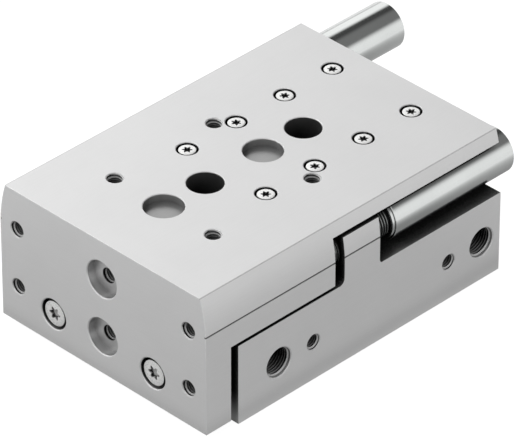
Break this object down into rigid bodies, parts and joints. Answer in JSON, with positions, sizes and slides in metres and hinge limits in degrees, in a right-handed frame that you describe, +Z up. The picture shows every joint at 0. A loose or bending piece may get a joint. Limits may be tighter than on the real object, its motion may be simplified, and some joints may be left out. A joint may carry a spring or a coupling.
{
  "type": "pneumatic slide table",
  "caption": "Ball-guided pneumatic slide table with a ported housing, a sliding top plate with a front yoke, twin pistons and screwed-in end cushions.",
  "frame": {"origin": "on the base, midway between the two mounting holes", "axes": "+X towards the side with the air ports, +Y back from the yoke along the travel, +Z up from the base"},
  "size_m": [0.084, 0.1524, 0.049],
  "materials": {
    "anodised_aluminium": "fine satin milled and clear anodised",
    "cap_aluminium": "turned aluminium, fine concentric lines",
    "rail_steel": "hardened and ground",
    "screw_steel": "bright zinc-nickel plated, rolled head",
    "spring_steel": "phosphated spring steel",
    "rod_steel": "hard chromed and polished",
    "cushion_steel": "bright turned and plated",
    "bush_bronze": "sintered bronze",
    "seal_rubber": "nitrile rubber",
    "wear_plastic": "filled PTFE",
    "magnet_iron": "plastic bonded ferrite",
    "cage_plastic": "moulded acetal",
    "nose_plastic": "hard moulded plastic",
    "ball_steel": "polished bearing steel"
  },
  "bodies": {
    "housing": {"housing": "anodised_aluminium", "fixed_guide_rail": "rail_steel", "fixed_rail_screws": "screw_steel", "front_retaining_rings": "spring_steel", "rear_retaining_rings": "spring_steel", "rod_seals": "seal_rubber", "o_rings": "seal_rubber", "rod_bearing_left": "cap_aluminium", "rod_bearing_right": "cap_aluminium", "rear_end_cap_left": "cap_aluminium", "rear_end_cap_right": "cap_aluminium", "retract_cushion_body": "cushion_steel", "retract_cushion_bush": "bush_bronze"},
    "slide": {"slide_table": "anodised_aluminium", "moving_rail_left": "rail_steel", "moving_rail_right": "rail_steel", "cage_stops": "rail_steel", "rail_screws_left": "screw_steel", "rail_screws_right": "screw_steel", "rod_screw_left": "screw_steel", "rod_screw_right": "screw_steel", "piston_rod_left": "rod_steel", "piston_rod_right": "rod_steel", "piston_left": "cap_aluminium", "piston_right": "cap_aluminium", "piston_seals": "seal_rubber", "piston_wear_rings": "wear_plastic", "piston_magnet": "magnet_iron", "piston_nuts": "screw_steel", "extend_cushion_body": "cushion_steel", "extend_cushion_bush": "bush_bronze"},
    "cage_left": {"ball_cage_left": "cage_plastic", "guide_balls_left": "ball_steel"},
    "cage_right": {"ball_cage_right": "cage_plastic", "guide_balls_right": "ball_steel"},
    "retract_plunger": {"retract_cushion_plunger": "rod_steel", "retract_cushion_nose": "nose_plastic"},
    "extend_plunger": {"extend_cushion_plunger": "rod_steel", "extend_cushion_nose": "nose_plastic"}
  },
  "joints": [
    {"name": "slide_travel", "type": "slide", "parent": "housing", "child": "slide", "axis": [0, -1, 0], "range_m": [0, 0.05]},
    {"name": "cage_left_travel", "type": "slide", "parent": "housing", "child": "cage_left", "axis": [0, -1, 0], "range_m": [0, 0.025]},
    {"name": "cage_right_travel", "type": "slide", "parent": "housing", "child": "cage_right", "axis": [0, -1, 0], "range_m": [0, 0.025]},
    {"name": "retract_plunger_travel", "type": "slide", "parent": "housing", "child": "retract_plunger", "axis": [0, -1, 0], "range_m": [0, 0.01]},
    {"name": "extend_plunger_travel", "type": "slide", "parent": "slide", "child": "extend_plunger", "axis": [0, 1, 0], "range_m": [0, 0.01]}
  ],
  "couplings": [
    {"joint": "cage_left_travel", "follows": "slide_travel", "ratio": 0.5},
    {"joint": "cage_right_travel", "follows": "slide_travel", "ratio": 0.5},
    {"joint": "retract_plunger_travel", "follows": "slide_travel", "ratio": 0.2},
    {"joint": "extend_plunger_travel", "follows": "slide_travel", "ratio": 0.2}
  ]
}
